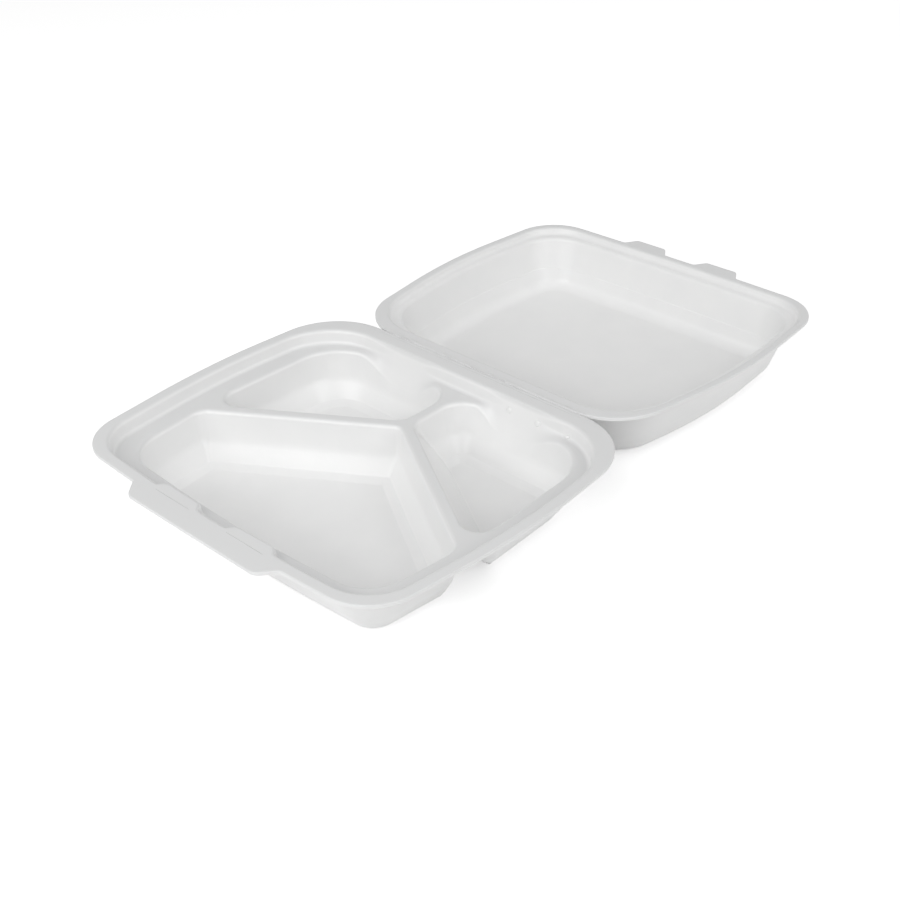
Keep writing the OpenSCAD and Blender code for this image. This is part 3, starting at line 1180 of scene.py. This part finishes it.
@dataclass(frozen=True)
class FoamFinish:
    """Satin skin of press-formed polystyrene foam.

    Attributes:
        colour: Linear colour of the skin.
        shade: Linear colour of its greyer patches.
        flat_shade_colour: Linear colour of the flat tops, painted darker as shade.
        roughness: Roughness of the skin.
        roughness_play: How much the roughness varies.
        ior: Refractive index of the skin.
        cell: Size of the foam cells under the skin, in metres.
        grain: Size of the grain, in cells.
        patch: Size of the greyer patches, in metres.
        dent: Size of the slow dents, in patches.
        cell_height: Height of the cells, in metres.
        dent_height: Height of the slow dents, in metres.
        crease_reach: How far the wrinkles reach from the hinge crease, in metres.
        crease_height: Height of the wrinkles, in metres.
        fold_size: Size of the wrinkles across the hinge, in metres.
        fold_stretch: How fast the wrinkles change along the hinge, beside across it.
        fold_level: Value of their noise from which a wrinkle stands up.
        fold_gain: How much what is over that value is raised.
        score_lines: Distances of the faint lines beside the crease, in metres.
        score_w: Half width of those lines, in metres.
        score_depth: Depth of those lines, in metres.
        detail: Detail of the finer noises.
        soft_detail: Detail of the noise of the dents.
    """

    colour: tuple[float, float, float] = (0.86, 0.86, 0.855)
    shade: tuple[float, float, float] = (0.81, 0.812, 0.812)
    flat_shade_colour: tuple[float, float, float] = (0.71, 0.713, 0.713)
    roughness: float = 0.34
    roughness_play: float = 0.12
    ior: float = 1.5
    cell: float = 0.0009
    grain: float = 2.2
    patch: float = 0.022
    dent: float = 0.4
    cell_height: float = 0.00002
    dent_height: float = 0.00012
    crease_reach: float = 0.0045
    crease_height: float = 0.0003
    fold_size: float = 0.0009
    fold_stretch: float = 0.12
    fold_level: float = 0.52
    fold_gain: float = 4.0
    score_lines: tuple[float, float] = (-0.0026, 0.0024)
    score_w: float = 0.0004
    score_depth: float = 0.00012
    detail: float = 3.0
    soft_detail: float = 2.0

    def material(self) -> bpy.types.Material:
        """Return the foam's material, made once."""
        name = "pressed_foam"
        if name in bpy.data.materials:
            return bpy.data.materials[name]
        made = bpy.data.materials.new(name)
        made.use_nodes = True
        pad = NodePad(made.node_tree)
        at = pad.node("ShaderNodeTexCoord", output="Object")
        patches = pad.noise(at, self.patch, self.detail)
        grain = pad.noise(at, self.cell * self.grain, self.detail)
        spots = {"Vector": at, "Scale": 1.0 / self.cell}
        cells = pad.node("ShaderNodeTexVoronoi", {"feature": "SMOOTH_F1"}, spots)
        light = pad.blend(patches, (*self.shade, 1.0), (*self.colour, 1.0))
        # Painted shade: the flat tops (lip, ledge, divider tops, tabs) are painted darker by the
        # mesh's shade attribute.
        flat_shade_mask = pad.node("ShaderNodeAttribute", {"attribute_name": FLAT_SHADE}, {}, "Fac")
        mixed = pad.blend(flat_shade_mask, light, (*self.flat_shade_colour, 1.0))
        rough = self.roughness + self.roughness_play * ((patches + grain) * 0.5 - 0.5)
        dents = pad.noise(at, self.patch * self.dent, self.soft_detail)
        relief = cells * self.cell_height + grain * self.cell_height + dents * self.dent_height
        relief = relief + self.hinge_relief(pad, at)
        bump = pad.node("ShaderNodeBump", {}, {"Height": relief, "Strength": 1.0, "Distance": 1.0})
        skin = pad.node(
            "ShaderNodeBsdfPrincipled",
            {},
            {"Base Color": mixed, "Roughness": rough, "Normal": bump, "IOR": self.ior},
        )
        pad.node("ShaderNodeOutputMaterial", {}, {"Surface": skin})
        return made

    def hinge_relief(self, pad: NodePad, at: Signal) -> Signal:
        """Shape the folded foam at the hinge.

        Args:
            pad: Node tree of the material.
            at: Place on the piece, in metres.

        Returns:
            The height of the wrinkles and of the lines beside the crease.
        """
        aside = pad.node("ShaderNodeSeparateXYZ", {}, {0: at}, "Y") - float(HINGE[1])
        near = pad.ramp(pad.math("ABSOLUTE", aside, 0.0), self.crease_reach)
        along = pad.scaled(at, (self.fold_stretch, 1.0, 1.0))
        folds = pad.noise(along, self.fold_size, self.detail)
        broken = pad.math("MAXIMUM", folds - self.fold_level, 0.0)
        height = broken * near * (self.crease_height * self.fold_gain)
        for line in self.score_lines:
            beside = pad.math("ABSOLUTE", aside - line, 0.0)
            height = height - pad.ramp(beside, self.score_w) * self.score_depth
        return height


# -------------------------------------------------------------------------------------- studio


@dataclass(frozen=True)
class Lamp:
    """Soft box of the studio.

    Attributes:
        name: Name of the lamp.
        place: Where it stands, in metres.
        size: Width and height in metres.
        level: Light on a face that looks straight at it, where 1 renders white as white.
    """

    name: str
    place: tuple[float, float, float]
    size: tuple[float, float]
    level: float

    def build(self, aim: Vector) -> None:
        """Make the lamp and turn it to a point."""
        light = bpy.data.lights.new(self.name, "AREA")
        light.shape = "RECTANGLE"
        light.size, light.size_y = self.size
        away = Vector(self.place) - aim
        light.energy = self.level * math.pi**2 * away.length_squared
        lamp = linked(self.name, light)
        lamp.location = self.place
        lamp.rotation_mode = "QUATERNION"
        lamp.rotation_quaternion = away.to_track_quat("Z", "Y")


@dataclass
class Studio:
    """Floor, lamps, surrounding light and camera."""

    lamps: tuple[Lamp, ...] = (
        Lamp("near_softbox", (0.106, -0.701, 0.728), (0.6, 0.6), 0.25),
        Lamp("front_softbox", (-0.3, -1.96, 1.0), (2.0, 0.7), 0.25),
        Lamp("back_softbox", (0.7, 0.9, 1.6), (1.0, 1.0), 0.085),
        Lamp("right_softbox", (1.905, 0.0, 1.1), (1.3, 1.3), 0.245),
    )
    ambient: float = 0.415
    aim: tuple[float, float, float] = (0.0, 0.0, 0.02)
    floor_size: float = 6.0
    floor_drop: float = 0.0004
    floor_colour: tuple[float, float, float] = (0.84, 0.84, 0.84)
    floor_lift: float = 0.5
    camera_place: tuple[float, float, float] = (0.4442, -0.4846, 0.4120)
    camera_aim: tuple[float, float, float] = (0.0013, -0.0250, 0.0)
    camera_roll: float = -1.78
    camera_lens: float = 54.33
    camera_sensor: float = 36.0
    camera_clip: tuple[float, float] = (0.01, 50.0)

    WHITE = (1.0, 1.0, 1.0, 1.0)

    def build(self) -> None:
        """Make everything round the object."""
        for lamp in self.lamps:
            lamp.build(Vector(self.aim))
        self.surround()
        self.floor()
        self.camera()
        bpy.context.scene.view_settings.view_transform = "Standard"

    @staticmethod
    def seen(pad: NodePad) -> Signal:
        """Return 1 for what the camera sees, also in a gloss or through glass."""
        rays = [
            pad.node("ShaderNodeLightPath", output=f"Is {kind} Ray")
            for kind in ("Camera", "Glossy", "Transmission")
        ]
        return pad.math("MINIMUM", rays[0] + rays[1] + rays[2], 1.0)

    def surround(self) -> None:
        """Make the even light of the room, seen as white."""
        world = bpy.data.worlds.new("studio_room")
        bpy.context.scene.world = world
        world.use_nodes = True
        pad = NodePad(world.node_tree)
        level = self.ambient + (1.0 - self.ambient) * self.seen(pad)
        light = pad.node("ShaderNodeBackground", {}, {"Color": self.WHITE, "Strength": level})
        pad.node("ShaderNodeOutputWorld", {}, {"Surface": light})

    def floor(self) -> None:
        """Make the white table, which keeps the shadow."""
        half, z = self.floor_size / 2, -self.floor_drop
        mesh = bpy.data.meshes.new("table")
        corners = [(-half, -half, z), (half, -half, z), (half, half, z), (-half, half, z)]
        mesh.from_pydata(corners, [], [(0, 1, 2, 3)])
        table = linked("table", mesh)
        made = bpy.data.materials.new("white_table")
        made.use_nodes = True
        pad = NodePad(made.node_tree)
        lit = pad.node("ShaderNodeBsdfDiffuse", {}, {"Color": (*self.floor_colour, 1.0)})
        glow = {"Color": self.WHITE, "Strength": self.floor_lift * self.seen(pad)}
        lift = pad.node("ShaderNodeEmission", {}, glow)
        both = pad.node("ShaderNodeAddShader", {}, {0: lit, 1: lift})
        pad.node("ShaderNodeOutputMaterial", {}, {"Surface": both})
        mesh.materials.append(made)

    def camera(self) -> None:
        """Make the camera at the photograph's angle."""
        data = bpy.data.cameras.new("camera")
        data.sensor_width = self.camera_sensor
        data.lens = self.camera_lens
        data.clip_start, data.clip_end = self.camera_clip
        camera = linked("camera", data)
        place = Vector(self.camera_place)
        look = (Vector(self.camera_aim) - place).to_track_quat("-Z", "Y").to_matrix().to_4x4()
        roll = Matrix.Rotation(math.radians(self.camera_roll), 4, "Z")
        camera.matrix_world = Matrix.Translation(place) @ look @ roll
        bpy.context.scene.camera = camera


def main() -> None:
    """Build the container and the studio round it."""
    logging.basicConfig(level=logging.INFO, format="%(name)s: %(message)s")
    foam, finish = FoamSheet(), FoamFinish()
    Studio().build()
    for half in (BaseTray(foam), Lid(foam)):
        piece = half.dress(finish)
        log.info("%s: %d faces", piece.name, len(piece.data.polygons))


if __name__ == "__main__":
    main()
